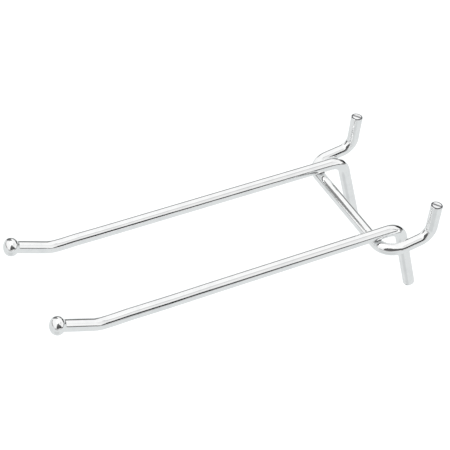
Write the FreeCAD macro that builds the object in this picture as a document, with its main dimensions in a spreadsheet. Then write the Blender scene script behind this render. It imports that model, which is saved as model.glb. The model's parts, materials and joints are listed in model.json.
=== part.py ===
import FreeCAD
import Part
import Sketcher
import os
from math import atan2, cos, pi, radians, sin, tan

from FreeCAD import Placement, Rotation, Vector

# Double-arm pegboard hook, in millimetres.
# Two ball-ended arm wires lie across one hook wire and are resistance welded to it.
# The board's front face is the plane y = 0, with the arms in front of it at -Y and +Z up.
# The origin is on that face, midway between the two board holes that the pegs go through.

# Driving sizes: alias, value and what it measures. Runs are measured between the corners
# where the straight centre lines would meet, and bend radii are to the centre line.
SIZES = (
    ("wire_dia", 4.0, "diameter of all three wires"),
    ("arm_inset", 6.55, "peg centre line in to the arm's centre line"),
    ("arm_rise", 16.6, "degrees that an arm climbs away from the board"),
    ("arm_run", 110.0, "rear corner to nose corner"),
    ("nose_rise", 21.0, "degrees that the nose turns up from the arm"),
    ("nose_run", 14.6, "nose corner to the middle of the head"),
    ("nose_bend", 12.0, "bend radius under the nose"),
    ("leg_drop", 30.0, "rear corner down to the leg's cut end"),
    ("rear_bend", 6.5, "bend radius from arm to leg"),
    ("head_dia", 6.0, "across the headed tip"),
    ("head_front", 2.3, "middle of the head to its front"),
    ("head_rim", 1.7, "radius round the rim of the head"),
    ("neck_slope", 40.0, "degrees of the taper from the head down to the wire"),
    ("peg_spacing", 50.8, "between the two pegs, two pitches of a 25.4 board"),
    ("peg_fall", 7.0, "degrees that a peg falls behind the cross bar"),
    ("peg_run", 17.0, "cross bar centre line to the upturn corner"),
    ("bar_bend", 6.7, "bend radius from cross bar to peg"),
    ("tip_turn", 78.4, "degrees that the tip turns up from the peg"),
    ("tip_run", 13.4, "upturn corner to the tip's cut end"),
    ("tip_bend", 5.0, "bend radius from peg to tip"),
    ("bar_setback", 8.9, "rear corner to the cross bar, along the arm"),
    ("weld_sink", 0.3, "depth the wires are pressed into each other"),
    ("bead_dia", 3.4, "across the metal squeezed out round a weld"),
    ("cut_bevel", 0.25, "bevel round the sheared ends"),
)

VALUE = {alias: value for alias, value, note in SIZES}
SHEET = "Sizes"
NEAR = 0.001


def cell(text):
    """Turn a formula of size names into one that reads the sheet."""
    for alias in sorted(VALUE, key=len, reverse=True):
        text = text.replace("$" + alias, SHEET + "." + alias)
    return text


# Formulas that more than one piece needs, in the sheet's own names.
ARM_X = "($peg_spacing / 2 - $arm_inset)"
AXIS_GAP = "($wire_dia - $weld_sink)"
BAR_Y = "(-$wire_dia / 2 - $bar_setback * cos($arm_rise) - " + AXIS_GAP + " * sin($arm_rise))"
BAR_Z = "(-" + BAR_Y + " * tan($peg_fall))"
CORNER_Z = "(" + BAR_Z + " - $bar_setback * sin($arm_rise) + " + AXIS_GAP + " * cos($arm_rise))"
NOSE_ANGLE = "($arm_rise + $nose_rise)"
HEAD_Y = "(-$arm_run * cos($arm_rise) - $nose_run * cos(" + NOSE_ANGLE + "))"
HEAD_Z = "($leg_drop + $arm_run * sin($arm_rise) + $nose_run * sin(" + NOSE_ANGLE + "))"
RIM_LIFT = "($head_dia / 2 - $head_rim)"
NECK_DROP = "(" + RIM_LIFT + " + $head_rim * cos($neck_slope) - $wire_dia / 2)"
NECK_BACK = "($head_rim * sin($neck_slope) + " + NECK_DROP + " / tan($neck_slope))"
TIP_TANGENT = "($tip_bend * tan($tip_turn / 2))"


def make_sheet(doc):
    """Keep the driving sizes in a spreadsheet, one named cell each."""
    sheet = doc.addObject("Spreadsheet::Sheet", SHEET)
    for row, (alias, value, note) in enumerate(SIZES, start=1):
        sheet.set("A%d" % row, alias)
        sheet.set("B%d" % row, str(value))
        sheet.set("C%d" % row, note)
        sheet.setAlias("B%d" % row, alias)
    doc.recompute()
    return sheet


def bind(item, bindings):
    """Tie properties of one object to formulas of the sheet's sizes."""
    for prop, formula in bindings.items():
        item.setExpression(prop, cell(formula))


def origin_plane(body, role):
    return [item for item in body.Origin.OriginFeatures if item.Role == role][0]


def sketch_on(body, role, name):
    """Start a sketch on one of the body's own origin planes."""
    sketch = body.newObject("Sketcher::SketchObject", name)
    sketch.AttachmentSupport = [(origin_plane(body, role), "")]
    sketch.MapMode = "FlatFace"
    return sketch


def named(sketch, name, *constraint):
    """Add a dimension that the sheet drives under its own name."""
    index = sketch.addConstraint(Sketcher.Constraint(*constraint))
    sketch.renameConstraint(index, name)


def wire_section(body, role, name):
    """The round section of the wire, centred on the sketch's origin."""
    sketch = sketch_on(body, role, name)
    radius = VALUE["wire_dia"] / 2
    sketch.addGeometry(Part.Circle(Vector(0, 0, 0), Vector(0, 0, 1), radius))
    sketch.addConstraint(Sketcher.Constraint("Coincident", 0, 3, -1, 1))
    named(sketch, "section_dia", "Diameter", 0, 2 * radius)
    bind(sketch, {"Constraints.section_dia": "$wire_dia"})
    return sketch


def bent_route(sketch, corners, radii):
    """Draw the centre line of a bent wire: straight runs joined by tangent arcs.

    Each corner keeps a construction point where its two runs would meet, so the lengths
    of the runs can be given from corner to corner. Returns the runs, the arcs and the
    corner points by their places in the sketch.
    """
    runs, arcs, marks = [], [], []
    start = corners[0]
    for before, corner, after, radius in zip(corners, corners[1:], corners[2:], radii):
        come = (corner - before).normalize()
        leave = (after - corner).normalize()
        turn = come.getAngle(leave)
        tangent = radius * tan(turn / 2)
        left = (come.cross(leave)).z > 0
        side = Vector(-come.y, come.x, 0) * (1 if left else -1)
        first, last = corner - come * tangent, corner + leave * tangent
        centre = first + side * radius
        angles = [atan2(p.y - centre.y, p.x - centre.x) for p in (first, last)]
        if not left:
            angles.reverse()
        circle = Part.Circle(centre, Vector(0, 0, 1), radius)
        runs.append(sketch.addGeometry(Part.LineSegment(start, first)))
        arcs.append(sketch.addGeometry(Part.ArcOfCircle(circle, *angles)))
        enter, leave_end = (1, 2) if left else (2, 1)
        if len(runs) > 1:
            sketch.addConstraint(
                Sketcher.Constraint("Tangent", arcs[-2], last_end, runs[-1], 1)
            )
        sketch.addConstraint(Sketcher.Constraint("Tangent", runs[-1], 2, arcs[-1], enter))
        last_end = leave_end
        start = last
    runs.append(sketch.addGeometry(Part.LineSegment(start, corners[-1])))
    sketch.addConstraint(Sketcher.Constraint("Tangent", arcs[-1], last_end, runs[-1], 1))
    for number, corner in enumerate(corners[1:-1]):
        mark = sketch.addGeometry(Part.Point(corner), True)
        sketch.addConstraint(Sketcher.Constraint("PointOnObject", mark, 1, runs[number]))
        sketch.addConstraint(Sketcher.Constraint("PointOnObject", mark, 1, runs[number + 1]))
        marks.append(mark)
    return runs, arcs, marks


def sweep(body, section, route, name):
    """Run the wire's section along a route."""
    wire = body.newObject("PartDesign::AdditivePipe", name)
    wire.Profile = section
    wire.Spine = (route, ["Edge%d" % (n + 1) for n in range(route.Shape.countElement("Edge"))])
    return wire


def heading(degrees):
    return Vector(cos(radians(degrees)), sin(radians(degrees)), 0)


def arm_route(body):
    """Leg up from its cut end, round the rear bend, along the arm and up the nose."""
    sketch = sketch_on(body, "YZ_Plane", "ArmRoute")
    rise, nose = VALUE["arm_rise"], VALUE["arm_rise"] + VALUE["nose_rise"]
    rear = Vector(0, VALUE["leg_drop"], 0)
    kink = rear + heading(180 - rise) * VALUE["arm_run"]
    seat = kink + heading(180 - nose) * (VALUE["nose_run"] - VALUE["head_rim"])
    runs, arcs, marks = bent_route(
        sketch, [Vector(0, 0, 0), rear, kink, seat], [VALUE["rear_bend"], VALUE["nose_bend"]]
    )
    leg, arm, nose_run = runs
    sketch.addConstraint(Sketcher.Constraint("Coincident", leg, 1, -1, 1))
    sketch.addConstraint(Sketcher.Constraint("Vertical", leg))
    named(sketch, "rear_radius", "Radius", arcs[0], VALUE["rear_bend"])
    named(sketch, "nose_radius", "Radius", arcs[1], VALUE["nose_bend"])
    named(sketch, "leg_length", "Distance", leg, 1, marks[0], 1, VALUE["leg_drop"])
    named(sketch, "arm_length", "Distance", marks[0], 1, marks[1], 1, VALUE["arm_run"])
    seat_run = seat.distanceToPoint(kink)
    named(sketch, "seat_length", "Distance", marks[1], 1, nose_run, 2, seat_run)
    named(sketch, "arm_angle", "Angle", arm, radians(180 - rise))
    named(sketch, "nose_angle", "Angle", nose_run, radians(180 - nose))
    bind(sketch, {
        "Constraints.rear_radius": "$rear_bend",
        "Constraints.nose_radius": "$nose_bend",
        "Constraints.leg_length": "$leg_drop",
        "Constraints.arm_length": "$arm_run",
        "Constraints.seat_length": "$nose_run - " + NECK_BACK,
        "Constraints.arm_angle": "180 - $arm_rise",
        "Constraints.nose_angle": "180 - " + NOSE_ANGLE,
    })
    return sketch


def head_profile(body):
    """Half section of the headed tip, drawn along the nose from the middle of the head.

    A shallow dome at the front runs tangent into the round rim, and a short taper leads
    from the back of the rim down to the wire.
    """
    sketch = sketch_on(body, "YZ_Plane", "HeadProfile")
    front, rim, slope = VALUE["head_front"], VALUE["head_rim"], radians(VALUE["neck_slope"])
    wire = VALUE["wire_dia"] / 2
    lift = VALUE["head_dia"] / 2 - rim
    dome = (front ** 2 - rim ** 2 + lift ** 2) / (2 * (front - rim))
    spread = atan2(lift, dome - front)
    up = Vector(0, 0, 1)
    leave = Vector(-rim * sin(slope), lift + rim * cos(slope), 0)
    neck_back = (leave.y - wire) / tan(slope) - leave.x
    dome_arc = sketch.addGeometry(
        Part.ArcOfCircle(Part.Circle(Vector(front - dome, 0, 0), up, dome), 0, spread)
    )
    rim_arc = sketch.addGeometry(
        Part.ArcOfCircle(Part.Circle(Vector(0, lift, 0), up, rim), spread, pi / 2 + slope)
    )
    taper = sketch.addGeometry(Part.LineSegment(leave, Vector(-neck_back, wire, 0)))
    back = sketch.addGeometry(
        Part.LineSegment(Vector(-neck_back, wire, 0), Vector(-neck_back, 0, 0))
    )
    axis = sketch.addGeometry(Part.LineSegment(Vector(-neck_back, 0, 0), Vector(front, 0, 0)))
    join = sketch.addConstraint
    join(Sketcher.Constraint("PointOnObject", dome_arc, 3, -1))
    join(Sketcher.Constraint("PointOnObject", dome_arc, 1, -1))
    join(Sketcher.Constraint("Tangent", dome_arc, 2, rim_arc, 1))
    join(Sketcher.Constraint("PointOnObject", rim_arc, 3, -2))
    join(Sketcher.Constraint("Tangent", rim_arc, 2, taper, 1))
    join(Sketcher.Constraint("Coincident", taper, 2, back, 1))
    join(Sketcher.Constraint("Vertical", back))
    join(Sketcher.Constraint("PointOnObject", back, 2, -1))
    join(Sketcher.Constraint("Coincident", back, 2, axis, 1))
    join(Sketcher.Constraint("Coincident", axis, 2, dome_arc, 1))
    named(sketch, "front_reach", "DistanceX", -1, 1, dome_arc, 1, front)
    named(sketch, "rim_radius", "Radius", rim_arc, rim)
    named(sketch, "rim_lift", "DistanceY", -1, 1, rim_arc, 3, lift)
    named(sketch, "taper_angle", "Angle", taper, slope - pi)
    named(sketch, "neck_foot", "DistanceY", back, 2, back, 1, wire)
    bind(sketch, {
        "Constraints.front_reach": "$head_front",
        "Constraints.rim_radius": "$head_rim",
        "Constraints.rim_lift": RIM_LIFT,
        "Constraints.taper_angle": "$neck_slope - 180",
        "Constraints.neck_foot": "$wire_dia / 2",
        "AttachmentOffset.Base.x": HEAD_Y,
        "AttachmentOffset.Base.y": HEAD_Z,
        "AttachmentOffset.Rotation.Angle": "180 - " + NOSE_ANGLE,
    })
    return sketch


def bevel_cut_ends(body, wire, ends, name):
    """Bevel the rims of the sheared ends, found by where their centres lie."""
    rims = []
    for number, edge in enumerate(wire.Shape.Edges, start=1):
        if edge.Degenerated or not isinstance(edge.Curve, Part.Circle):
            continue
        if any(edge.Curve.Center.distanceToPoint(end) < NEAR for end in ends):
            rims.append("Edge%d" % number)
    if len(rims) != len(ends):
        raise RuntimeError("%s: %d cut ends found, not %d" % (name, len(rims), len(ends)))
    bevel = body.newObject("PartDesign::Chamfer", name)
    bevel.Base = (wire, rims)
    bind(bevel, {"Size": "$cut_bevel"})


def make_arm(doc, label, side):
    """One arm wire, in its own frame: the leg's cut end at the origin, the leg along +Z."""
    body = doc.addObject("PartDesign::Body", label)
    body.Label = label
    section = wire_section(body, "XY_Plane", "ArmSection")
    route = arm_route(body)
    doc.recompute()
    wire = sweep(body, section, route, "ArmWire")
    profile = head_profile(body)
    doc.recompute()
    head = body.newObject("PartDesign::Revolution", "Head")
    head.Profile = profile
    head.ReferenceAxis = (profile, ["H_Axis"])
    head.Angle = 360
    doc.recompute()
    bevel_cut_ends(body, head, [Vector(0, 0, 0)], "LegEnd")
    bind(body, {
        "Placement.Base.x": "%d * " % side + ARM_X,
        "Placement.Base.y": "-$wire_dia / 2",
        "Placement.Base.z": CORNER_Z + " - $leg_drop",
    })
    return body


def hook_route(body):
    """From the middle of the cross bar out to the corner and back along the peg."""
    sketch = sketch_on(body, "XY_Plane", "BarRoute")
    half = VALUE["peg_spacing"] / 2
    peg = VALUE["peg_run"] - VALUE["tip_bend"] * tan(radians(VALUE["tip_turn"] / 2))
    runs, arcs, marks = bent_route(
        sketch, [Vector(0, 0, 0), Vector(half, 0, 0), Vector(half, peg, 0)], [VALUE["bar_bend"]]
    )
    sketch.addConstraint(Sketcher.Constraint("Coincident", runs[0], 1, -1, 1))
    sketch.addConstraint(Sketcher.Constraint("Horizontal", runs[0]))
    sketch.addConstraint(Sketcher.Constraint("Vertical", runs[1]))
    named(sketch, "bar_radius", "Radius", arcs[0], VALUE["bar_bend"])
    named(sketch, "half_bar", "DistanceX", -1, 1, marks[0], 1, half)
    named(sketch, "peg_length", "DistanceY", -1, 1, runs[1], 2, peg)
    bind(sketch, {
        "Constraints.bar_radius": "$bar_bend",
        "Constraints.half_bar": "$peg_spacing / 2",
        "Constraints.peg_length": "$peg_run - " + TIP_TANGENT,
    })
    return sketch


def tip_route(body):
    """From the end of the peg up round the tip bend to the tip's cut end."""
    sketch = sketch_on(body, "YZ_Plane", "TipRoute")
    turn, radius = VALUE["tip_turn"], VALUE["tip_bend"]
    tangent = radius * tan(radians(turn / 2))
    peg = VALUE["peg_run"]
    up = Vector(0, 0, 1)
    arc = sketch.addGeometry(
        Part.ArcOfCircle(
            Part.Circle(Vector(peg - tangent, radius, 0), up, radius),
            -pi / 2, -pi / 2 + radians(turn),
        )
    )
    corner = Vector(peg, 0, 0)
    tip = sketch.addGeometry(
        Part.LineSegment(corner + heading(turn) * tangent, corner + heading(turn) * VALUE["tip_run"])
    )
    mark = sketch.addGeometry(Part.Point(corner), True)
    join = sketch.addConstraint
    join(Sketcher.Constraint("Tangent", arc, 2, tip, 1))
    join(Sketcher.Constraint("PointOnObject", arc, 1, -1))
    join(Sketcher.Constraint("Vertical", arc, 3, arc, 1))
    join(Sketcher.Constraint("PointOnObject", mark, 1, -1))
    join(Sketcher.Constraint("PointOnObject", mark, 1, tip))
    named(sketch, "tip_radius", "Radius", arc, radius)
    named(sketch, "corner_reach", "DistanceX", -1, 1, mark, 1, peg)
    named(sketch, "tip_length", "Distance", mark, 1, tip, 2, VALUE["tip_run"])
    named(sketch, "tip_angle", "Angle", tip, radians(turn))
    bind(sketch, {
        "Constraints.tip_radius": "$tip_bend",
        "Constraints.corner_reach": "$peg_run",
        "Constraints.tip_length": "$tip_run",
        "Constraints.tip_angle": "$tip_turn",
        "AttachmentOffset.Base.z": "$peg_spacing / 2",
    })
    return sketch


def make_hook(doc):
    """The hook wire as bent, before welding: cross bar along X, pegs along its own +Y."""
    body = doc.addObject("PartDesign::Body", "BentHook")
    bar_section = wire_section(body, "YZ_Plane", "BarSection")
    bar = hook_route(body)
    doc.recompute()
    half_bar = sweep(body, bar_section, bar, "BarAndPeg")
    tip_section = wire_section(body, "XZ_Plane", "TipSection")
    bind(tip_section, {
        "AttachmentOffset.Base.x": "$peg_spacing / 2",
        "AttachmentOffset.Base.z": "-($peg_run - %s)" % TIP_TANGENT,
    })
    tip = tip_route(body)
    doc.recompute()
    tip_wire = sweep(body, tip_section, tip, "Tip")
    doc.recompute()
    both = body.newObject("PartDesign::Mirrored", "BothSides")
    both.Originals = [half_bar, tip_wire]
    both.MirrorPlane = (origin_plane(body, "YZ_Plane"), [""])
    body.Tip = both
    doc.recompute()
    turn, reach = radians(VALUE["tip_turn"]), VALUE["tip_run"]
    ends = [
        Vector(
            side * VALUE["peg_spacing"] / 2,
            VALUE["peg_run"] + reach * cos(turn),
            reach * sin(turn),
        )
        for side in (-1, 1)
    ]
    bevel_cut_ends(body, both, ends, "TipEnds")
    body.Placement = Placement(Vector(0, 0, 0), Rotation(Vector(-1, 0, 0), VALUE["peg_fall"]))
    bind(body, {
        "Placement.Base.y": BAR_Y,
        "Placement.Base.z": BAR_Z,
        "Placement.Rotation.Angle": "$peg_fall",
    })
    return body


def press_hook(doc, bent_hook, arms):
    """Press the arms' print into the cross bar, so the welded wires meet face to face."""
    both_arms = doc.addObject("Part::Compound", "BothArms")
    both_arms.Links = arms
    pressed = doc.addObject("Part::Cut", "hook_wire")
    pressed.Base = bent_hook
    pressed.Tool = both_arms
    pressed.Label = "hook_wire"
    return pressed


def make_weld(doc, label, side, arm, hook):
    """The collar of metal that the weld squeezes out between an arm and the cross bar.

    It starts as a stub from the cross bar's centre line square up to the arm's, and the two
    wires are cut out of it, which leaves the ring that fills the crevice round the weld.
    """
    bead = doc.addObject("Part::Cylinder", label + "_bead")
    bead.Placement = Placement(Vector(0, 0, 0), Rotation(Vector(-1, 0, 0), VALUE["arm_rise"]))
    bind(bead, {
        "Radius": "$bead_dia / 2",
        "Height": AXIS_GAP,
        "Placement.Base.x": "%d * " % side + ARM_X,
        "Placement.Base.y": BAR_Y,
        "Placement.Base.z": BAR_Z,
        "Placement.Rotation.Angle": "$arm_rise",
    })
    under_arm = doc.addObject("Part::Cut", label + "_under_arm")
    under_arm.Base = bead
    under_arm.Tool = arm
    collar = doc.addObject("Part::Cut", label)
    collar.Base = under_arm
    collar.Tool = hook
    collar.Label = label
    return collar


def check(doc, nodes):
    """Stop before anything is written if a feature failed or a piece isn't sound."""
    for item in doc.Objects:
        if "Invalid" in item.State or "Error" in item.State:
            raise RuntimeError("%s did not build: %s" % (item.Label, item.State))
    for node in nodes:
        shape = node.Shape
        if shape.isNull() or not shape.isValid() or len(shape.Solids) != 1:
            raise RuntimeError("%s is not one sound solid" % node.Label)


def main():
    doc = FreeCAD.newDocument("PegboardHook")
    make_sheet(doc)
    left_arm = make_arm(doc, "left_arm", -1)
    right_arm = make_arm(doc, "right_arm", 1)
    bent_hook = make_hook(doc)
    hook_wire = press_hook(doc, bent_hook, [left_arm, right_arm])
    left_weld = make_weld(doc, "left_weld", -1, left_arm, hook_wire)
    right_weld = make_weld(doc, "right_weld", 1, right_arm, hook_wire)
    doc.recompute()
    nodes = [left_arm, right_arm, hook_wire, left_weld, right_weld]
    check(doc, nodes)
    os.makedirs("parts", exist_ok=True)
    for node in nodes:
        node.Shape.exportStep("parts/%s.step" % node.Label)
        box = node.Shape.optimalBoundingBox()
        print("%-10s %.1f mm3, x %.2f to %.2f, y %.2f to %.2f, z %.2f to %.2f" % (
            node.Label, node.Shape.Volume,
            box.XMin, box.XMax, box.YMin, box.YMax, box.ZMin, box.ZMax,
        ))


main()
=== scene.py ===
"""Plated wires, headed tips, sheared ends, welds and studio for a double-arm pegboard hook.

The hook is three bent wires. Two arms lie across one hook wire and are welded to it. All
places come from the loaded frame: the arms' rails, the pegs and the boxes of its nodes.
"""

import json
from collections import namedtuple
from math import atan2, cos, exp, pi, radians, sin, tan

import bmesh
import bpy
from bpy.props import FloatProperty, FloatVectorProperty, IntProperty, PointerProperty
from mathutils import Matrix, Vector, noise


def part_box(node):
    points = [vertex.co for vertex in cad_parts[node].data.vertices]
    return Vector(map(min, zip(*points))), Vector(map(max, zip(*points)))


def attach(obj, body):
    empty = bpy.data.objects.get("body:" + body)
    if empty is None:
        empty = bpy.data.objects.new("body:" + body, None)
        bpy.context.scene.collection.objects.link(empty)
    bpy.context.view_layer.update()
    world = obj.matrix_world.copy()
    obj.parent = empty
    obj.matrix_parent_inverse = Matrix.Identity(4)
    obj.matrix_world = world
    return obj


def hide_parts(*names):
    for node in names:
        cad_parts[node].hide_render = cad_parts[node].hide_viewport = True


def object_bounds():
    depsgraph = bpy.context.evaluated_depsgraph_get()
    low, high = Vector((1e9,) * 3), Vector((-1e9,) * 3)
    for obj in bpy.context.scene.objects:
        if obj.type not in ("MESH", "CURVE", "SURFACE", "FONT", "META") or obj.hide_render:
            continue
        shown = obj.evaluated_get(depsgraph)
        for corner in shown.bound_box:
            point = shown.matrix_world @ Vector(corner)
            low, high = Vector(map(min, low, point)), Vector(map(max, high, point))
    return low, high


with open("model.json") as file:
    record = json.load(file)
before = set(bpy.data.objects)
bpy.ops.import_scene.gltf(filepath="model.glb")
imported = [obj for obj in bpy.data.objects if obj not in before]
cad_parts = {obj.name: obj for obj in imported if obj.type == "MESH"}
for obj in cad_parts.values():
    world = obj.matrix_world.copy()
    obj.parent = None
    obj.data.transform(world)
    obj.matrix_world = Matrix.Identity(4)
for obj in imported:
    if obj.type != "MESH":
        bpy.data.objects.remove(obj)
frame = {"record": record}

bl_info = {
    "name": "Plated Pegboard Hook",
    "version": (1, 0, 0),
    "blender": (4, 5, 0),
    "location": "View3D > Sidebar > Hook",
    "description": "Draws the wires, welds and studio of a double-arm pegboard hook",
    "category": "Object",
}

MM = 0.001
CAD_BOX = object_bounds()
X_AXIS = Vector((1, 0, 0))
UP = Vector((0, 0, 1))


def mount(name):
    """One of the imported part's mounts."""
    return next(m for m in frame["record"]["mounts"] if m["name"] == name)


RAIL = mount("right_rail")
PEG = mount("right_peg")
WIRE_RADIUS = RAIL["dims"]["r_mm"] * MM
ARM_X = RAIL["pos_m"][0]
ARM_AXIS = Vector(RAIL["axis"]).normalized()
ARM_UP = ARM_AXIS.cross(X_AXIS)
PEG_X = PEG["pos_m"][0]
TIP_AXIS = Vector(PEG["axis"]).normalized()
LEG_END_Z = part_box("right_arm")[0].z
BAR_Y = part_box("hook_wire")[0].y + WIRE_RADIUS

# A point on a wire's route: its place, the wire's radius there, the radius that the corner
# is bent to, and how much of the sheared face it belongs to.
Station = namedtuple("Station", "place girth bend cut")

# A swept wire starts and ends as a ring too small to see, which merging closes.
POLE_RADIUS = 0.002 * MM
# Turn from ring to ring round a head or over a rolled edge.
ROUND_ANGLE = radians(5)
# Long, shallow waves in a wire's surface. The seeds give each wire its own.
WAVES_PER_METRE = 90.0
ARMS_SEED = 3
HOOK_WIRE_SEED = 7

# How the arms stray from straight behind the nose bend: how far back from the corner in
# millimetres, and the share of the bow by which they stand above the line there.
LEFT_BOW = ((4.5, -0.4), (9.0, 1.0), (16.0, 0.0), (24.0, -0.3))
RIGHT_BOW = ((4.5, -0.5), (10.5, 0.8), (24.0, -0.8), (38.0, 0.0))
BOW_BEND = 60 * MM

# A sheared face is swept as rings a hair behind each other. The outermost of them and the
# start of the rolled edge carry a rim of painted shade, where `cut` is within RIM_SPAN of RIM_CUT.
FACE_RINGS = 14
EDGE_RINGS = 2
FACE_STEP = POLE_RADIUS / 2
EDGE_CUT = 0.93
RIM_CUT = 0.65
RIM_SPAN = 0.32
# Rings from the rolled edge to where the shear no longer pinches the wire.
PINCH_RINGS = 3

# The torn line across a sheared face: how it is turned on the tips, the direction across it
# on the legs, and its place, width and wander as shares of the wire's radius.
TIP_TEAR_TURN = radians(39)
LEG_TEAR_NORMAL = Vector((0.8, 0.6, 0))
TORN_OFFSET = -0.05
TORN_WIDTH = 0.18
TORN_WANDER = 0.12
WANDERS_PER_METRE = 400.0
# The face falls away from the line by this power of the distance. Its grain is fractal
# noise of this roughness, with waves so many times finer in so many octaves.
FALL_POWER = 1.5
GRAINS_PER_METRE = 1500.0
GRAIN_FRACTAL = (0.7, 2.0, 3)
# Points further from an end's middle line than this share of the radius are left alone.
END_REACH = 1.05

# The collars' faces round and up, and the noise that makes their reach ragged: its rags on
# the way round, and where in it each side's collar lies.
COLLAR_STEPS = 96
COLLAR_ARC = 9
COLLAR_RAGS = 3
COLLAR_SEED = 7.0
# How much painted shade a collar has in its crevice at the cross bar, and how quickly that
# fades on the way up. At the arm it is in full painted shade.
BAR_CREVICE_SHADE = 0.8
BAR_CREVICE_SHADE_FADE = 4

# Middle of a weld, as its distances from the three planes through the origin.
WELD_HEIGHT = 1.9 * MM
WELD_PLACE = (ARM_X, abs(BAR_Y), WELD_HEIGHT)
# The haze beside a weld: how far from its middle it starts and where it is full.
HAZE_EDGE = 3.6 * MM
HAZE_FULL = 2.2 * MM

# The plating's noises. Clouds, peel and lumps lie in space, so many to the metre. Streaks
# and drawn lines follow the wire, so fine round it and so many to the metre along it.
CLOUDS_PER_METRE = 220.0
PEEL_PER_METRE = 1600.0
STREAKS = (6.0, 45.0)
DRAWN_LINES = (22.0, 70.0)
DRAWN_DEPTH = 0.003 * MM
WELD_CLOUDS_PER_METRE = 900.0
WELD_LUMPS_PER_METRE = 700.0
WELD_LUMP_DEPTH = 0.02 * MM

# Where a noise or an attribute starts to show and where it shows in full.
DULL_FROM, DULL_TO = 0.45, 0.75
BLOTCHES_FROM, BLOTCHES_TO = 0.4, 0.55
# Where the painted shade in the welds' crevices starts and where it is full.
CREVICE_SHADE_FROM, CREVICE_SHADE_TO = 0.55, 0.75

# Roughness of the smoothest and of the roughest plating, and what the torn line and rim add.
WIRE_ROUGHNESS = (0.02, 0.08)
WELD_ROUGHNESS = (0.2, 0.4)
CUT_ROUGHNESS = 0.2

SENSOR_MM = 36
LAMP_SIZE = 0.5
LAMP_PLACE = (-0.10, -0.10, 0.90)

# How bright the studio is at each height in degrees, where nothing darker stands. Its
# floor is a little cooler than its walls.
ROOM_TONES = (
    (-90, 0.765), (-8, 0.765), (-1, 0.78), (3, 0.93), (20, 0.96), (60, 1.0), (90, 1.0),
)
FLOOR_TINT = (0.973, 1.0, 1.005)

# What is darker in the room, as the wires mirror it. Turns are from the front of the arms
# towards the camera's side, heights from the level, both in degrees.
Patch = namedtuple("Patch", "turn_from turn_to height_from height_to tone softness")
ROOM_PATCHES = (
    Patch(95, 165, 32, 62, 0.87, 6),       # wall on the camera's side
    Patch(105, 175, 57, 67, 0.68, 3),      # seam where it meets the ceiling
    Patch(-60, 0, -6, 5, 0.70, 4),         # shaded foot of the front wall
    Patch(5, 60, -9, 5, 0.45, 3),          # low shelf in front of it
    Patch(5, 80, -76, -26, 0.66, 14),      # floor in the camera's shade
    Patch(55, 95, -2, 6, 0.62, 3),         # shaded foot of the wall beside the camera
    Patch(92, 150, -2, 4, 0.20, 1.5),      # line where the floor meets the camera's side
    Patch(150, 200, -2, 10, 0.25, 2),      # dark foot of the far end of that side
    Patch(-62, -16, -2, 4, 0.20, 1.5),     # line under the front wall
    Patch(-200, -125, -5, 22, 0.20, 3),    # dark end of the room behind the board
    Patch(-200, -144, -7, 16, 0.0, 2),     # open doors in it
    Patch(-166, -154, -7, 25, 0.0, 1.2),   # taller door among them
    Patch(-137, -126, -3, 15, 0.05, 1.5),  # black cupboard beside them
    Patch(-135, -98, -3, 17, 0.10, 3),     # dark foot of the wall on the left
    Patch(118, 138, -3, 8, 0.05, 2),       # dark box past the bench
    Patch(113, 118.5, 5, 18, 0.12, 1),     # far end of the low bench on the camera's side
    Patch(106, 116.5, 8, 24, 0.02, 1),     # middle of the bench
    Patch(90, 113.5, 9, 31, 0.0, 1),       # near end of the bench
    Patch(60, 108.5, 13, 34, 0.02, 1.5),   # black stand on the bench
)

# The dark cards round the hook, out of the camera's sight. A card's corners are `distance`
# millimetres from the camera's aim or the cross bar's middle, at turns and heights in
# degrees from there. It is `low_tone` at its foot and `high_tone` at its top.
Card = namedtuple("Card", "name seen_from distance outline low_tone high_tone")
CARDS = (
    Card("camera_card", "aim", 550, (
        (30, 4), (60, 9), (98, 15), (103, 26), (98, 38), (86, 46), (72, 51), (58, 57),
        (46, 64), (36, 65), (27, 57), (24, 40), (23, 20),
    ), 0.06, 0.17),
    Card("window_card", "bar", 250, (
        (-68, 4), (-40, 4), (-40, 30), (-46, 44), (-60, 50), (-70, 50),
    ), 0.24, 0.27),
    Card("gap_card", "bar", 245, (
        (-69, -8), (-52, -8), (-51, 22), (-57, 32), (-63, 37), (-69, 38),
    ), 0.0, 0.0),
)


def length(name, default_mm, description):
    """A size property, given in millimetres."""
    return FloatProperty(
        name=name, description=description, default=default_mm * MM,
        unit="LENGTH", subtype="DISTANCE",
    )


def angle(name, default_degrees, description):
    """An angle property, given in degrees."""
    return FloatProperty(
        name=name, description=description, default=radians(default_degrees), subtype="ANGLE",
    )


def share(name, default, description):
    """A property from 0 to 1."""
    return FloatProperty(
        name=name, description=description, default=default, min=0, max=1, subtype="FACTOR",
    )


def colour(name, default, description):
    """A colour property, in linear values."""
    return FloatVectorProperty(
        name=name, description=description, default=default, size=3, min=0, max=1,
        subtype="COLOR",
    )


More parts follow.
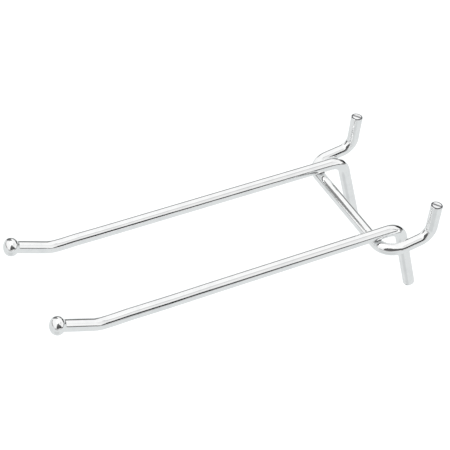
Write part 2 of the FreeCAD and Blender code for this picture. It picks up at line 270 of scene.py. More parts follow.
class WireSizes(bpy.types.PropertyGroup):
    """How the three wires are bent."""

    radius: length("Wire radius", WIRE_RADIUS / MM, "Half the diameter of all three wires")
    leg_drop: length("Leg drop", 30.0, "Rear corner down to the leg's cut end")
    rear_bend: length("Rear bend", 6.5, "Bend radius from arm to leg")
    arm_run: length("Arm run", 110.0, "Rear corner to nose corner")
    nose_rise: angle("Nose rise", 21.0, "How far the nose turns up from the arm")
    nose_run: length("Nose run", 14.6, "Nose corner to the middle of the head")
    nose_bend: length("Nose bend", 12.0, "Bend radius under the nose")
    bar_bend: length("Bar bend", 6.7, "Bend radius from cross bar to peg")
    peg_fall: angle("Peg fall", 7.0, "How far a peg falls behind the cross bar")
    peg_run: length("Peg run", 17.0, "Cross bar to the upturn corner")
    tip_bend: length("Tip bend", 5.0, "Bend radius from peg to tip")
    tip_run: length("Tip run", 13.4, "Upturn corner to the tip's cut end")
    waviness: length("Waviness", 0.012, "How far the plated surface strays from a true cylinder")
    round_steps: IntProperty(
        name="Round steps", description="Faces round the wire", default=96, min=12,
    )
    bend_steps: IntProperty(
        name="Bend steps", description="Points along each bend", default=36, min=4,
    )
    longest_step: length("Longest step", 0.6, "Longest face along a straight run")
    bow: length("Bow", 0.1, "How far the arms stray from straight behind the nose bend")


class HeadSizes(bpy.types.PropertyGroup):
    """The ball that is upset on each arm's tip."""

    radius: length("Head radius", 3.0, "Half the width of the headed tip")
    front: length("Head front", 2.3, "Middle of the head to its front")
    rim: length("Rim radius", 2.05, "Radius round the rim of the head")
    neck_slope: angle("Neck slope", 40.0, "Taper from the head down to the wire")
    neck_blend: length("Neck blend", 0.5, "Hollow radius where the taper meets the wire")


class CutSizes(bpy.types.PropertyGroup):
    """The sheared ends of the legs and tips."""

    roll: length("Rolled edge", 0.3, "Radius that the shear rolls onto the rim")
    fall: length("Fall", 0.12, "How far the face falls from its torn line to the rim")
    step: length("Step", 0.06, "How far one side of the torn line stands above the other")
    depth: length("Shear depth", 0.9, "How far from the end the wire is pinched")
    grain: length("Torn grain", 0.015, "Roughness of the face")


class WeldSizes(bpy.types.PropertyGroup):
    """The metal squeezed out where an arm crosses the cross bar."""

    sink: length("Weld sink", 0.3, "Depth the wires are pressed into each other")
    reach: length("Collar reach", 1.65, "Middle of the weld to the collar's edge")
    bulge: length("Collar bulge", 0.18, "How far the collar swells beyond its edge")
    uneven: length("Unevenness", 0.2, "How much the collar's reach varies round it")
    seat: length("Seat", 0.06, "How far the collar runs into the wires")


class Finish(bpy.types.PropertyGroup):
    """The plating."""

    wire: colour("Wire plating", (0.97, 0.975, 0.975), "Bright plating on the drawn wire")
    dull: colour("Thin plating", (0.90, 0.91, 0.915), "Plating where it is thin or handled")
    weld: colour("Weld plating", (0.78, 0.79, 0.795), "Plating over the weld metal")
    # Painted shade in the welds' crevices, where the collar meets the wires.
    crevice_shade: colour("Crevice", (0.05, 0.055, 0.055), "Unplated metal in the welds' crevices")
    haze: colour("Heat haze", (0.68, 0.70, 0.71), "Plating that is dulled beside the welds")
    # Painted shade at the sheared faces' torn line and round their rolled rims.
    cut: colour("Torn steel", (0.10, 0.10, 0.11), "Steel at the torn line and round the rolled rim")
    arm_peel: length("Arm peel", 0.002, "Depth of the fine unevenness in the arms' plating")
    hook_peel: length("Hook peel", 0.013, "Depth of the unevenness in the hook wire's plating")


class Studio(bpy.types.PropertyGroup):
    """The floor, light and camera."""

    floor_drop: length("Floor drop", 60.0, "Lowest point of the hook down to the floor")
    floor_size: length("Floor size", 1600.0, "Side of the square floor")
    floor_lift: share("Floor lift", 0.36, "Light added to the floor where the camera sees it")
    floor_tone: colour("Floor tone", (0.745, 0.765, 0.77), "Colour of the pale floor")
    tilt: angle("Studio tilt", 16.6, "How far the hook is tipped against the studio's horizon")
    azimuth: angle("Azimuth", 74.87, "Camera's turn from the front of the arms")
    elevation: angle("Elevation", 48.83, "Camera's height above the level")
    roll: angle("Roll", -16.95, "Camera's turn about its own line of sight")
    distance: length("Distance", 498.05, "Camera to the point it aims at")
    aim: FloatVectorProperty(
        name="Aim", description="Point that the camera aims at",
        default=(-0.007355, -0.052680, 0.015739), size=3, unit="LENGTH", subtype="XYZ",
    )
    lens: FloatProperty(
        name="Lens", description="Focal length on a 36 mm sensor", default=119.38, unit="CAMERA",
    )
    lamp_power: FloatProperty(
        name="Lamp power", description="Power of the soft overhead lamp", default=1.2,
        unit="POWER",
    )


def node(tree, kind, inputs=None, **settings):
    """Add a node, set its options and feed its inputs from values or other sockets."""
    made = tree.nodes.new(kind)
    for key, value in settings.items():
        setattr(made, key, value)
    for key, value in (inputs or {}).items():
        if isinstance(value, bpy.types.NodeSocket):
            tree.links.new(value, made.inputs[key])
        else:
            made.inputs[key].default_value = value
    return made


def maths(tree, operation, *values):
    """What a maths node makes of values or other sockets."""
    made = node(tree, "ShaderNodeMath", dict(enumerate(values)), operation=operation)
    return made.outputs[0]


def ramped(tree, value, start, end, low=0.0, high=1.0, easing="LINEAR"):
    """The value's share of the way from start to end, as a number from low to high."""
    return node(tree, "ShaderNodeMapRange", {
        "Value": value, "From Min": start, "From Max": end, "To Min": low, "To Max": high,
    }, interpolation_type=easing).outputs[0]


def grained(tree, place, scale, detail, roughness=0.5):
    """Fractal noise at a place, from 0 to 1."""
    return node(tree, "ShaderNodeTexNoise", {
        "Vector": place, "Scale": scale, "Detail": detail, "Roughness": roughness,
    }).outputs[0]


def mixed(tree, amount, first, second):
    """A colour so far on the way from the first to the second."""
    return node(tree, "ShaderNodeMix", {
        "Factor": amount, "A": first, "B": second,
    }, data_type="RGBA").outputs["Result"]


def cleared_tree(owner):
    """The emptied node tree of a material or a world."""
    owner.use_nodes = True
    owner.node_tree.nodes.clear()
    return owner.node_tree


def metal_surface(tree, tone, roughness, normal):
    """End a material's tree in a metal."""
    metal = node(tree, "ShaderNodeBsdfPrincipled", {
        "Base Color": tone, "Metallic": 1.0, "Roughness": roughness, "Normal": normal,
    })
    node(tree, "ShaderNodeOutputMaterial", {"Surface": metal.outputs[0]})


def placed(name, data):
    """A new object in the scene, at the origin."""
    made = bpy.data.objects.new(name, data)
    bpy.context.scene.collection.objects.link(made)
    return made


def facing(turn, height):
    """Where a turn from the front of the arms and a height above the level point to."""
    level = cos(height)
    return Vector((sin(turn) * level, -cos(turn) * level, sin(height)))


def measured_route(tree, given, place):
    """The route as a curve: corners bent, runs divided, `along` measured on it."""
    line = node(tree, "GeometryNodeMeshToCurve", {"Mesh": given["Route"]})
    bend = node(tree, "GeometryNodeInputNamedAttribute", {"Name": "bend"})
    bent = node(tree, "GeometryNodeFilletCurve", {
        "Curve": line.outputs[0], "Count": given["Bend steps"], "Radius": bend.outputs[0],
    }, mode="POLY")
    number = node(tree, "GeometryNodeInputIndex")
    ahead = node(tree, "GeometryNodeFieldAtIndex", {
        "Value": place, "Index": maths(tree, "ADD", number.outputs[0], 1.0),
    }, data_type="FLOAT_VECTOR")
    gap = node(tree, "ShaderNodeVectorMath", {
        0: ahead.outputs[0], 1: place,
    }, operation="DISTANCE")
    divided = node(tree, "GeometryNodeSubdivideCurve", {
        "Curve": bent.outputs[0],
        "Cuts": maths(tree, "DIVIDE", gap.outputs["Value"], given["Longest step"]),
    })
    travelled = node(tree, "GeometryNodeSplineParameter")
    return node(tree, "GeometryNodeStoreNamedAttribute", {
        "Geometry": divided.outputs[0], "Name": "along", "Value": travelled.outputs["Length"],
    }).outputs[0]


def closed_skin(tree, given, place, route):
    """A round skin along the route, with `around` kept on it and both its ends closed."""
    ring = node(tree, "GeometryNodeCurvePrimitiveCircle", {
        "Resolution": given["Round steps"], "Radius": 1.0,
    })
    spread = node(tree, "GeometryNodeStoreNamedAttribute", {
        "Geometry": ring.outputs[0], "Name": "around", "Value": place,
    }, data_type="FLOAT_VECTOR")
    girth = node(tree, "GeometryNodeInputNamedAttribute", {"Name": "girth"})
    skin = node(tree, "GeometryNodeCurveToMesh", {
        "Curve": route,
        "Profile Curve": spread.outputs[0],
        "Scale": girth.outputs[0],
        "Fill Caps": True,
    })
    return node(tree, "GeometryNodeMergeByDistance", {
        "Geometry": skin.outputs[0], "Distance": POLE_RADIUS * 2,
    }).outputs[0]


def waved_skin(tree, given, place, skin):
    """The skin with its long, shallow waves."""
    swell = node(tree, "ShaderNodeTexNoise", {
        "Vector": place, "W": given["Seed"], "Scale": WAVES_PER_METRE, "Detail": 2.0,
    }, noise_dimensions="4D")
    centred = maths(tree, "SUBTRACT", swell.outputs[0], 0.5)
    outward = node(tree, "GeometryNodeInputNormal")
    push = node(tree, "ShaderNodeVectorMath", {
        0: outward.outputs[0], "Scale": maths(tree, "MULTIPLY", centred, given["Waviness"]),
    }, operation="SCALE")
    return node(tree, "GeometryNodeSetPosition", {
        "Geometry": skin, "Offset": push.outputs[0],
    }).outputs[0]


def bent_wire_tree():
    """Geometry nodes that sweep a round wire along a route of corners.

    The route's points carry `bend`, the corner's radius, and `girth`, the wire's radius.
    Straight runs are divided so that no face is longer than the longest step. The mesh
    keeps `along`, the distance from the wire's start, and `around`, the direction out from
    the wire's centre line, for the plating.
    """
    tree = bpy.data.node_groups.new("Bent wire", "GeometryNodeTree")
    sockets = (
        ("Route", "NodeSocketGeometry"),
        ("Bend steps", "NodeSocketInt"),
        ("Round steps", "NodeSocketInt"),
        ("Longest step", "NodeSocketFloat"),
        ("Waviness", "NodeSocketFloat"),
        ("Seed", "NodeSocketFloat"),
        ("Plating", "NodeSocketMaterial"),
    )
    for name, kind in sockets:
        tree.interface.new_socket(name, in_out="INPUT", socket_type=kind)
    tree.interface.new_socket("Wire", in_out="OUTPUT", socket_type="NodeSocketGeometry")
    given = node(tree, "NodeGroupInput").outputs
    place = node(tree, "GeometryNodeInputPosition").outputs[0]
    route = measured_route(tree, given, place)
    skin = closed_skin(tree, given, place, route)
    waved = waved_skin(tree, given, place, skin)
    smooth = node(tree, "GeometryNodeSetShadeSmooth", {"Geometry": waved})
    plated = node(tree, "GeometryNodeSetMaterial", {
        "Geometry": smooth.outputs[0], "Material": given["Plating"],
    })
    node(tree, "NodeGroupOutput", {0: plated.outputs[0]})
    return tree


def arc_angles(first, last):
    """Even angles from first to last, close enough for a smooth outline."""
    steps = max(2, round(abs(last - first) / ROUND_ANGLE))
    return [first + (last - first) * step / steps for step in range(steps + 1)]


def head_outline(head, wire_radius):
    """Distance along the nose and radius, from the neck round the rim to the front.

    Distances are from the middle of the head. A hollow blend leads onto the taper, the
    taper onto the round rim, and the rim onto the shallow dome of the front.
    """
    lift = head.radius - head.rim
    dome = (head.front ** 2 - head.rim ** 2 + lift ** 2) / (2 * (head.front - head.rim))
    spread = atan2(lift, dome - head.front)
    leave = lift + head.rim * cos(head.neck_slope)
    foot = -head.rim * sin(head.neck_slope) - (leave - wire_radius) / tan(head.neck_slope)
    blend = head.neck_blend
    start = foot - blend * tan(head.neck_slope / 2)
    outline = [
        (start + blend * sin(turn), wire_radius + blend * (1 - cos(turn)))
        for turn in arc_angles(0, head.neck_slope)
    ]
    outline += [
        (head.rim * cos(turn), lift + head.rim * sin(turn))
        for turn in arc_angles(pi / 2 + head.neck_slope, spread)
    ]
    outline += [
        (head.front - dome + dome * cos(turn), dome * sin(turn))
        for turn in arc_angles(spread, 0)[1:-1]
    ]
    return outline + [(head.front, POLE_RADIUS)]


def head_stations(head, wire_radius, middle, axis):
    """The headed tip as stations along the nose."""
    return [
        Station(middle + axis * distance, radius, 0, 0)
        for distance, radius in head_outline(head, wire_radius)
    ]


def cut_stations(cuts, wire_radius, end, inward):
    """A sheared end as stations, from the middle of its face out over the rolled edge."""
    flat = wire_radius - cuts.roll
    stations = []
    for ring in range(FACE_RINGS + 1):
        shown = EDGE_CUT if ring > FACE_RINGS - EDGE_RINGS else 1
        place = end + inward * FACE_STEP * ring
        stations.append(Station(place, POLE_RADIUS + flat * ring / FACE_RINGS, 0, shown))
    start = FACE_STEP * FACE_RINGS
    for turn in arc_angles(0, pi / 2)[1:]:
        place = end + inward * (start + cuts.roll * (1 - cos(turn)))
        stations.append(Station(place, flat + cuts.roll * sin(turn), 0, 1 - sin(turn)))
    pinched = cuts.depth - cuts.roll
    for ring in range(1, PINCH_RINGS + 1):
        place = end + inward * (start + cuts.roll + pinched * ring / PINCH_RINGS)
        stations.append(Station(place, wire_radius, 0, 0))
    return stations


def route_mesh(name, stations):
    """The route as a line of edges, with what each station carries as attributes."""
    mesh = bpy.data.meshes.new(name)
    links = [(number, number + 1) for number in range(len(stations) - 1)]
    mesh.from_pydata([station.place for station in stations], links, [])
    for field in ("girth", "bend", "cut"):
        values = mesh.attributes.new(field, "FLOAT", "POINT")
        values.data.foreach_set("value", [getattr(station, field) for station in stations])
    return mesh


def set_inputs(modifier, values):
    """Set a geometry nodes modifier's inputs through their sockets' identifiers."""
    for socket in modifier.node_group.interface.items_tree:
        if socket.in_out == "INPUT" and socket.name in values:
            modifier[socket.identifier] = values[socket.name]


def draw_wire(name, stations, wires, seed, plating):
    """Sweep one wire along its stations and keep it as a plain mesh with outward faces."""
    piece = placed(name, route_mesh(name, stations))
    modifier = piece.modifiers.new("Bent wire", "NODES")
    modifier.node_group = bpy.data.node_groups.get("Bent wire") or bent_wire_tree()
    set_inputs(modifier, {
        "Bend steps": wires.bend_steps,
        "Round steps": wires.round_steps,
        "Longest step": wires.longest_step,
        "Waviness": wires.waviness,
        "Seed": float(seed),
        "Plating": plating,
    })
    depsgraph = bpy.context.evaluated_depsgraph_get()
    swept = bpy.data.meshes.new_from_object(
        piece.evaluated_get(depsgraph), preserve_all_data_layers=True, depsgraph=depsgraph
    )
    piece.modifiers.remove(modifier)
    piece.data = swept
    face_outwards(swept)
    return piece


def face_outwards(mesh):
    """Turn every face of a closed mesh outwards."""
    shape = bmesh.new()
    shape.from_mesh(mesh)
    bmesh.ops.recalc_face_normals(shape, faces=shape.faces)
    shape.to_mesh(mesh)
    shape.free()


def shear_end(mesh, end, outward, across, cuts, wire_radius):
    """Leave the marks of the shear: two bright sides with a torn line and a step between."""
    torn = mesh.attributes.get("torn") or mesh.attributes.new("torn", "FLOAT", "POINT")
    for number, vertex in enumerate(mesh.vertices):
        offset = vertex.co - end
        height = offset.dot(outward)
        sideways = offset - outward * height
        if -height > cuts.depth or sideways.length > wire_radius * END_REACH:
            continue
        near = (1 + height / cuts.depth) ** 2
        wander = noise.noise(vertex.co * WANDERS_PER_METRE) * TORN_WANDER
        off_line = sideways.dot(across) / wire_radius - TORN_OFFSET + wander
        fall = cuts.fall * abs(off_line) ** FALL_POWER
        step = cuts.step / (1 + exp(-off_line / TORN_WIDTH))
        grain = noise.fractal(vertex.co * GRAINS_PER_METRE, *GRAIN_FRACTAL) * cuts.grain
        vertex.co -= outward * near * (fall + step + abs(grain))
        # The torn line also carries painted shade.
        torn.data[number].value = near ** 0.5 * exp(-(off_line / TORN_WIDTH) ** 2)


def arm_stations(side, wires, head, cuts):
    """One arm from its leg's cut end, round the rear bend and along to the headed tip."""
    bows = LEFT_BOW if side < 0 else RIGHT_BOW
    leg_end = Vector((side * ARM_X, -wires.radius, LEG_END_Z))
    rear = leg_end + UP * wires.leg_drop
    nose = rear + ARM_AXIS * wires.arm_run
    nose_axis = Matrix.Rotation(-wires.nose_rise, 3, "X") @ ARM_AXIS
    middle = nose + nose_axis * wires.nose_run
    stations = cut_stations(cuts, wires.radius, leg_end, UP)
    stations.append(Station(rear, wires.radius, wires.rear_bend, 0))
    for back, lift in reversed(bows):
        place = nose - ARM_AXIS * back * MM + ARM_UP * wires.bow * lift
        stations.append(Station(place, wires.radius, BOW_BEND, 0))
    stations.append(Station(nose, wires.radius, wires.nose_bend, 0))
    return stations + head_stations(head, wires.radius, middle, nose_axis)


def hook_corners(wires):
    """The hook wire's corners on the right: cross bar, upturn and the tip's cut end."""
    peg_axis = Vector((0, cos(wires.peg_fall), -sin(wires.peg_fall)))
    bar = Vector((PEG_X, BAR_Y, -BAR_Y * tan(wires.peg_fall)))
    upturn = bar + peg_axis * wires.peg_run
    return bar, upturn, upturn + TIP_AXIS * wires.tip_run


def hook_stations(wires, cuts):
    """The hook wire from the left tip along the cross bar to the right tip."""
    bar, upturn, tip = hook_corners(wires)
    half = [
        Station(bar, wires.radius, wires.bar_bend, 0),
        Station(upturn, wires.radius, wires.tip_bend, 0),
    ]
    half += cut_stations(cuts, wires.radius, tip, -TIP_AXIS)[::-1]
    mirrored = [
        station._replace(place=Vector((-station.place.x, station.place.y, station.place.z)))
        for station in half
    ]
    return mirrored[::-1] + half


def collar_section(reach, turn, spacing, radius, welds):
    """The collar's section where it faces one way: distance out, height, painted crevice shade."""
    side_on_bar, side_on_arm = reach * sin(turn), reach * cos(turn)
    low = (radius ** 2 - side_on_bar ** 2) ** 0.5 - welds.seat
    high = spacing - (radius ** 2 - side_on_arm ** 2) ** 0.5 + welds.seat
    section = []
    for step in range(COLLAR_ARC + 1):
        part = step / COLLAR_ARC
        out = reach + welds.bulge * sin(pi * part)
        # Painted shade at both feet of the collar: full at the arm, fading up from the cross bar.
        depth = max(part, BAR_CREVICE_SHADE - BAR_CREVICE_SHADE_FADE * part)
        section.append((out, low + (high - low) * part, depth))
    section.append((reach / 2, spacing / 2, 1))
    return section


def weld_collar(name, side, wires, welds, plating):
    """The ragged collar squeezed out round one weld, as a closed ring.

    It bridges the crevice from the cross bar's skin up to the arm's skin, and its inner
    edge is buried where the two wires are pressed together.
    """
    bar = hook_corners(wires)[0]
    middle = Vector((side * ARM_X, bar.y, bar.z))
    spacing = 2 * wires.radius - welds.sink
    shape = bmesh.new()
    # Each point keeps how much painted crevice shade it has.
    crevice_shade = shape.verts.layers.float.new("crevice_shade")
    rings = []
    for step in range(COLLAR_STEPS):
        turn = 2 * pi * step / COLLAR_STEPS
        rag = Vector((COLLAR_RAGS * cos(turn), COLLAR_RAGS * sin(turn), COLLAR_SEED * side))
        reach = welds.reach + welds.uneven * noise.noise(rag)
        outward = X_AXIS * cos(turn) + ARM_AXIS * sin(turn)
        ring = []
        for out, up, depth in collar_section(reach, turn, spacing, wires.radius, welds):
            point = shape.verts.new(middle + outward * out + ARM_UP * up)
            point[crevice_shade] = depth
            ring.append(point)
        rings.append(ring)
    for ring, following in zip(rings, rings[1:] + rings[:1]):
        for place in range(len(ring)):
            after = (place + 1) % len(ring)
            shape.faces.new((ring[place], ring[after], following[after], following[place]))
    bmesh.ops.recalc_face_normals(shape, faces=shape.faces)
    mesh = bpy.data.meshes.new(name)
    shape.to_mesh(mesh)
    shape.free()
    mesh.shade_smooth()
    mesh.materials.append(plating)
    return placed(name, mesh)


def plating_coordinates(tree, across, lengthwise):
    """Noise coordinates that follow a wire: so many grains round it, so many a metre."""
    around = node(tree, "ShaderNodeAttribute", attribute_name="around")
    along = node(tree, "ShaderNodeAttribute", attribute_name="along")
    spread = node(tree, "ShaderNodeVectorMath", {
        0: around.outputs["Vector"], "Scale": across,
    }, operation="SCALE")
    run = maths(tree, "MULTIPLY", along.outputs["Fac"], lengthwise)
    joined = node(tree, "ShaderNodeCombineXYZ", {"Z": run})
    return node(tree, "ShaderNodeVectorMath", {
        0: spread.outputs[0], 1: joined.outputs[0],
    }).outputs[0]


def cut_shade_and_roughness(tree):
    """How far a sheared face is painted with shade and roughened: at its torn line and round its
    rim.
    """
    cut = node(tree, "ShaderNodeAttribute", attribute_name="cut").outputs["Fac"]
    torn = node(tree, "ShaderNodeAttribute", attribute_name="torn").outputs["Fac"]
    return maths(tree, "MAXIMUM", torn, maths(tree, "COMPARE", cut, RIM_CUT, RIM_SPAN))


def weld_haze(tree, place, clouds, haze_share):
    """How far the plating is dulled: in blotches close to either weld."""
    folded = node(tree, "ShaderNodeVectorMath", {0: place}, operation="ABSOLUTE")
    gap = node(tree, "ShaderNodeVectorMath", {
        0: folded.outputs[0], 1: WELD_PLACE,
    }, operation="DISTANCE")
    nearness = ramped(tree, gap.outputs["Value"], HAZE_EDGE, HAZE_FULL, easing="SMOOTHSTEP")
    blotches = ramped(tree, clouds, BLOTCHES_FROM, BLOTCHES_TO, high=haze_share)
    return maths(tree, "MULTIPLY", nearness, blotches)


def wire_plating(name, finish, peel_depth, haze_share):
    """Bright plating over drawn wire: fine lines along it, clouded shine, painted shade on cut
    faces.
    """
    material = bpy.data.materials.new(name)
    tree = cleared_tree(material)
    objects = node(tree, "ShaderNodeTexCoord").outputs["Object"]
    clouds = grained(tree, objects, CLOUDS_PER_METRE, detail=4.0, roughness=0.6)
    streaks = grained(tree, plating_coordinates(tree, *STREAKS), 1.0, detail=3.0)
    drawn = grained(tree, plating_coordinates(tree, *DRAWN_LINES), 1.0, detail=2.0)
    peel = grained(tree, objects, PEEL_PER_METRE, detail=2.0)
    cut_shade_and_rough = cut_shade_and_roughness(tree)
    haze = weld_haze(tree, objects, clouds, haze_share)

    dulling = ramped(tree, clouds, DULL_FROM, DULL_TO)
    shine = mixed(tree, dulling, (*finish.wire, 1), (*finish.dull, 1))
    hazed = mixed(tree, haze, shine, (*finish.haze, 1))
    # Painted shade at the sheared faces' torn line and rim.
    tone = mixed(tree, cut_shade_and_rough, hazed, (*finish.cut, 1))
    gloss = ramped(tree, streaks, 0, 1, *WIRE_ROUGHNESS)
    rough = maths(tree, "MULTIPLY_ADD", cut_shade_and_rough, CUT_ROUGHNESS, gloss)
    lines = node(tree, "ShaderNodeBump", {
        "Height": drawn, "Strength": 1.0, "Distance": DRAWN_DEPTH,
    })
    skin = node(tree, "ShaderNodeBump", {
        "Height": peel, "Strength": 1.0, "Distance": peel_depth, "Normal": lines.outputs[0],
    })
    metal_surface(tree, tone, rough, skin.outputs[0])
    return material


def weld_plating(name, finish):
    """Plating over squeezed-out weld metal: clouded on the swell, with painted shade in the
    crevices.
    """
    material = bpy.data.materials.new(name)
    tree = cleared_tree(material)
    objects = node(tree, "ShaderNodeTexCoord").outputs["Object"]
    clouds = grained(tree, objects, WELD_CLOUDS_PER_METRE, detail=3.0, roughness=0.6)
    lumps = grained(tree, objects, WELD_LUMPS_PER_METRE, detail=1.0)
    depth = node(tree, "ShaderNodeAttribute", attribute_name="crevice_shade").outputs["Fac"]
    edge = ramped(tree, depth, CREVICE_SHADE_FROM, CREVICE_SHADE_TO, easing="SMOOTHSTEP")
    clouded = mixed(tree, clouds, (*finish.weld, 1), (*finish.dull, 1))
    # Painted shade in the crevices.
    tone = mixed(tree, edge, clouded, (*finish.crevice_shade, 1))
    rough = ramped(tree, clouds, 0, 1, *WELD_ROUGHNESS)
    skin = node(tree, "ShaderNodeBump", {
        "Height": lumps, "Strength": 1.0, "Distance": WELD_LUMP_DEPTH,
    })
    metal_surface(tree, tone, rough, skin.outputs[0])
    return material


def seat(piece, cad_node, slot):
    """Let a finished piece stand for its CAD node on the hook's one body."""
    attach(piece, "root")
    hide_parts(cad_node)


def band(tree, value, low, high, softness):
    """1 where the value lies from low to high, falling softly to 0 outside."""
    rise = ramped(tree, value, low - softness, low + softness, easing="SMOOTHSTEP")
    fall = ramped(tree, value, high + softness, high - softness, easing="SMOOTHSTEP")
    return maths(tree, "MULTIPLY", rise, fall)


def tinted(tone, height):
    """A tone of the room as a colour, cooler where its height is below the level."""
    tint = FLOOR_TINT if height < 0 else (1, 1, 1)
    return (*(tone * part for part in tint), 1)


def room_tone(tree, direction):
    """Tone of the room in one direction: the tones by height, then each darker patch."""
    parts = node(tree, "ShaderNodeSeparateXYZ", {0: direction})
    right, back, above = parts.outputs["X"], parts.outputs["Y"], parts.outputs["Z"]
    ramp = node(tree, "ShaderNodeValToRGB", {0: ramped(tree, above, -1.0, 1.0)})
    stops = ramp.color_ramp.elements
    stops.remove(stops[-1])
    for number, (degrees, tone) in enumerate(ROOM_TONES):
        position = (1 + sin(radians(degrees))) / 2
        stop = stops[0] if number == 0 else stops.new(position)
        stop.position = position
        stop.color = tinted(tone, degrees)

    forward = maths(tree, "MULTIPLY", back, -1.0)
    turn = maths(tree, "DEGREES", maths(tree, "ARCTAN2", right, forward))
    height = maths(tree, "DEGREES", maths(tree, "ARCSINE", above))
    tone = ramp.outputs[0]
    for patch in ROOM_PATCHES:
        across = band(tree, turn, patch.turn_from, patch.turn_to, patch.softness)
        upward = band(tree, height, patch.height_from, patch.height_to, patch.softness)
        inside = maths(tree, "MULTIPLY", across, upward)
        tone = mixed(tree, inside, tone, tinted(patch.tone, patch.height_to))
    return tone


def studio_world(studio):
    """The room's light from all round, with a plain white background to the camera."""
    world = bpy.data.worlds.new("Studio")
    bpy.context.scene.world = world
    tree = cleared_tree(world)
    direction = node(tree, "ShaderNodeTexCoord").outputs["Generated"]
    levelled = node(tree, "ShaderNodeMapping", {
        "Vector": direction, "Rotation": (studio.tilt, 0, 0),
    })
    tone = room_tone(tree, levelled.outputs[0])
    light = node(tree, "ShaderNodeBackground", {"Color": tone, "Strength": 1.0})
    white = node(tree, "ShaderNodeBackground", {"Color": (1, 1, 1, 1), "Strength": 1.0})
    seen = node(tree, "ShaderNodeLightPath").outputs["Is Camera Ray"]
    shown = node(tree, "ShaderNodeMixShader", {0: seen, 1: light.outputs[0], 2: white.outputs[0]})
    node(tree, "ShaderNodeOutputWorld", {"Surface": shown.outputs[0]})


def card_shade(card, corners):
    """Unlit grey that runs from the card's foot to its top."""
    material = bpy.data.materials.new(card.name)
    tree = cleared_tree(material)
    place = node(tree, "ShaderNodeTexCoord").outputs["Object"]
    parts = node(tree, "ShaderNodeSeparateXYZ", {0: place})
    heights = [corner.z for corner in corners]
    tone = ramped(
        tree, parts.outputs["Z"], min(heights), max(heights), card.low_tone, card.high_tone
    )
    shade = node(tree, "ShaderNodeEmission", {"Strength": tone})
    node(tree, "ShaderNodeOutputMaterial", {"Surface": shade.outputs[0]})
    return material


def stand_cards(studio):
    """The dark cards that the balls, the bends and the cross bar mirror."""
    tilt = Matrix.Rotation(-studio.tilt, 3, "X")
    for card in CARDS:
        middle = Vector(studio.aim) if card.seen_from == "aim" else Vector((0, BAR_Y, 0))
        corners = [
            middle + tilt @ facing(radians(turn), radians(height)) * card.distance * MM
            for turn, height in card.outline
        ]
        hub = sum(corners, Vector()) / len(corners)
        count = len(corners)
        faces = [(at, (at + 1) % count, count) for at in range(count)]
        mesh = bpy.data.meshes.new(card.name)
        mesh.from_pydata([*corners, hub], [], faces)
        mesh.materials.append(card_shade(card, corners))
        stood = placed(card.name, mesh)
        stood.visible_camera = False
        stood.visible_diffuse = False
        stood.visible_shadow = False
        stood.visible_transmission = False


def floor_finish(studio):
    """Pale matt floor that the camera sees as white, with the hook's shadow on it."""
    material = bpy.data.materials.new("Pale floor")
    tree = cleared_tree(material)
    matt = node(tree, "ShaderNodeBsdfDiffuse", {"Color": (*studio.floor_tone, 1)})
    seen = node(tree, "ShaderNodeLightPath").outputs["Is Camera Ray"]
    lift = maths(tree, "MULTIPLY", seen, studio.floor_lift)
    glow = node(tree, "ShaderNodeEmission", {"Strength": lift})
    both = node(tree, "ShaderNodeAddShader", {0: matt.outputs[0], 1: glow.outputs[0]})
    under = node(tree, "ShaderNodeNewGeometry").outputs["Backfacing"]
    clear = node(tree, "ShaderNodeBsdfTransparent")
    shown = node(tree, "ShaderNodeMixShader", {0: under, 1: both.outputs[0], 2: clear.outputs[0]})
    node(tree, "ShaderNodeOutputMaterial", {"Surface": shown.outputs[0]})
    return material


def lay_floor(studio):
    """A plain square floor under the hook."""
    half = studio.floor_size / 2
    level = CAD_BOX[0].z - studio.floor_drop
    mesh = bpy.data.meshes.new("studio_floor")
    corners = [(-half, -half), (half, -half), (half, half), (-half, half)]
    mesh.from_pydata([(x, y, level) for x, y in corners], [], [(0, 1, 2, 3)])
    mesh.materials.append(floor_finish(studio))
    floor = placed("studio_floor", mesh)
    floor.visible_glossy = False


def hang_lamp(studio):
    """One large soft lamp overhead."""
    lamp = bpy.data.lights.new("overhead_lamp", "AREA")
    lamp.shape = "SQUARE"
    lamp.size = LAMP_SIZE
    lamp.energy = studio.lamp_power
    placed("overhead_lamp", lamp).location = LAMP_PLACE


def set_camera(studio):
    """The camera where the photograph was taken from."""
    camera = bpy.data.cameras.new("photo_camera")
    camera.lens = studio.lens
    camera.sensor_width = SENSOR_MM
    back = facing(studio.azimuth, studio.elevation)
    right = Vector((cos(studio.azimuth), sin(studio.azimuth), 0))
    right = Matrix.Rotation(studio.roll, 3, back) @ right
    axes = Matrix((right, back.cross(right), back)).transposed()
    holder = placed("photo_camera", camera)
    holder.matrix_world = Matrix.LocRotScale(
        Vector(studio.aim) + back * studio.distance, axes, None
    )
    bpy.context.scene.camera = holder


class HOOK_OT_draw_arms(bpy.types.Operator):
    """Draw the two arm wires with their headed tips and sheared legs"""

    bl_idname = "hook.draw_arms"
    bl_label = "Draw arms"

    def execute(self, context):
        scene = context.scene
        wires, cuts = scene.hook_wires, scene.hook_cuts
        finish = scene.hook_finish
        plating = wire_plating("Bright plated arms", finish, finish.arm_peel, haze_share=1.0)
        for side, cad_node in ((-1, "left_arm"), (1, "right_arm")):
            stations = arm_stations(side, wires, scene.hook_head, cuts)
            piece = draw_wire(cad_node + "_wire", stations, wires, ARMS_SEED + side, plating)
            leg_end = stations[0].place
            shear_end(piece.data, leg_end, -UP, LEG_TEAR_NORMAL, cuts, wires.radius)
            seat(piece, cad_node, "plated_wire")
        return {"FINISHED"}


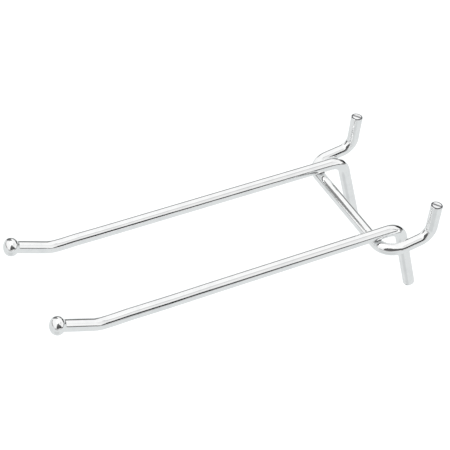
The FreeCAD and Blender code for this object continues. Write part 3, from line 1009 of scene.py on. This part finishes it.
class HOOK_OT_bend_hook_wire(bpy.types.Operator):
    """Bend the hook wire: cross bar, two pegs and their upturned tips"""

    bl_idname = "hook.bend_hook_wire"
    bl_label = "Bend hook wire"

    def execute(self, context):
        scene = context.scene
        wires, cuts = scene.hook_wires, scene.hook_cuts
        finish = scene.hook_finish
        plating = wire_plating(
            "Bright plated hook wire", finish, finish.hook_peel, haze_share=0.0
        )
        stations = hook_stations(wires, cuts)
        piece = draw_wire("hook_wire_bent", stations, wires, HOOK_WIRE_SEED, plating)
        across = Matrix.Rotation(TIP_TEAR_TURN, 3, TIP_AXIS) @ TIP_AXIS.cross(X_AXIS)
        for station in (stations[0], stations[-1]):
            shear_end(piece.data, station.place, TIP_AXIS, across, cuts, wires.radius)
        seat(piece, "hook_wire", "plated_wire")
        return {"FINISHED"}


class HOOK_OT_squeeze_welds(bpy.types.Operator):
    """Squeeze a ragged collar out round each of the two welds"""

    bl_idname = "hook.squeeze_welds"
    bl_label = "Squeeze welds"

    def execute(self, context):
        scene = context.scene
        plating = weld_plating("Plated weld", scene.hook_finish)
        for side, cad_node in ((-1, "left_weld"), (1, "right_weld")):
            piece = weld_collar(
                cad_node + "_collar", side, scene.hook_wires, scene.hook_welds, plating
            )
            seat(piece, cad_node, "plated_weld")
        return {"FINISHED"}


class HOOK_OT_set_stage(bpy.types.Operator):
    """Lay the floor, light the studio and set the camera"""

    bl_idname = "hook.set_stage"
    bl_label = "Set stage"

    def execute(self, context):
        studio = context.scene.hook_studio
        context.scene.view_settings.view_transform = "Standard"
        lay_floor(studio)
        studio_world(studio)
        stand_cards(studio)
        hang_lamp(studio)
        set_camera(studio)
        return {"FINISHED"}


PANEL_ROWS = (
    ("Wires", "hook_wires", "hook.draw_arms"),
    ("Headed tips", "hook_head", None),
    ("Sheared ends", "hook_cuts", "hook.bend_hook_wire"),
    ("Welds", "hook_welds", "hook.squeeze_welds"),
    ("Plating", "hook_finish", None),
    ("Studio", "hook_studio", "hook.set_stage"),
)


class HOOK_PT_panel(bpy.types.Panel):
    """Lists the hook's sizes and finishes, with the buttons that draw it"""

    bl_idname = "HOOK_PT_panel"
    bl_label = "Pegboard hook"
    bl_space_type = "VIEW_3D"
    bl_region_type = "UI"
    bl_category = "Hook"

    def draw(self, context):
        layout = self.layout
        for group, settings, operator in PANEL_ROWS:
            box = layout.box()
            sizes = getattr(context.scene, settings)
            box.label(text=group)
            for name in sizes.__annotations__:
                box.prop(sizes, name)
            if operator:
                box.operator(operator)


GROUPS = {
    "hook_wires": WireSizes,
    "hook_head": HeadSizes,
    "hook_cuts": CutSizes,
    "hook_welds": WeldSizes,
    "hook_finish": Finish,
    "hook_studio": Studio,
}
OPERATORS = (
    HOOK_OT_draw_arms,
    HOOK_OT_bend_hook_wire,
    HOOK_OT_squeeze_welds,
    HOOK_OT_set_stage,
)
CLASSES = (*GROUPS.values(), *OPERATORS, HOOK_PT_panel)


def register():
    """Add the classes to Blender, and the settings to its scenes."""
    for made in CLASSES:
        bpy.utils.register_class(made)
    for name, group in GROUPS.items():
        setattr(bpy.types.Scene, name, PointerProperty(type=group))


def unregister():
    """Take the settings and the classes away again."""
    for name in GROUPS:
        delattr(bpy.types.Scene, name)
    for made in reversed(CLASSES):
        bpy.utils.unregister_class(made)


def main():
    """Register the add-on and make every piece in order."""
    register()
    bpy.ops.hook.draw_arms()
    bpy.ops.hook.bend_hook_wire()
    bpy.ops.hook.squeeze_welds()
    bpy.ops.hook.set_stage()


if __name__ == "__main__":
    main()
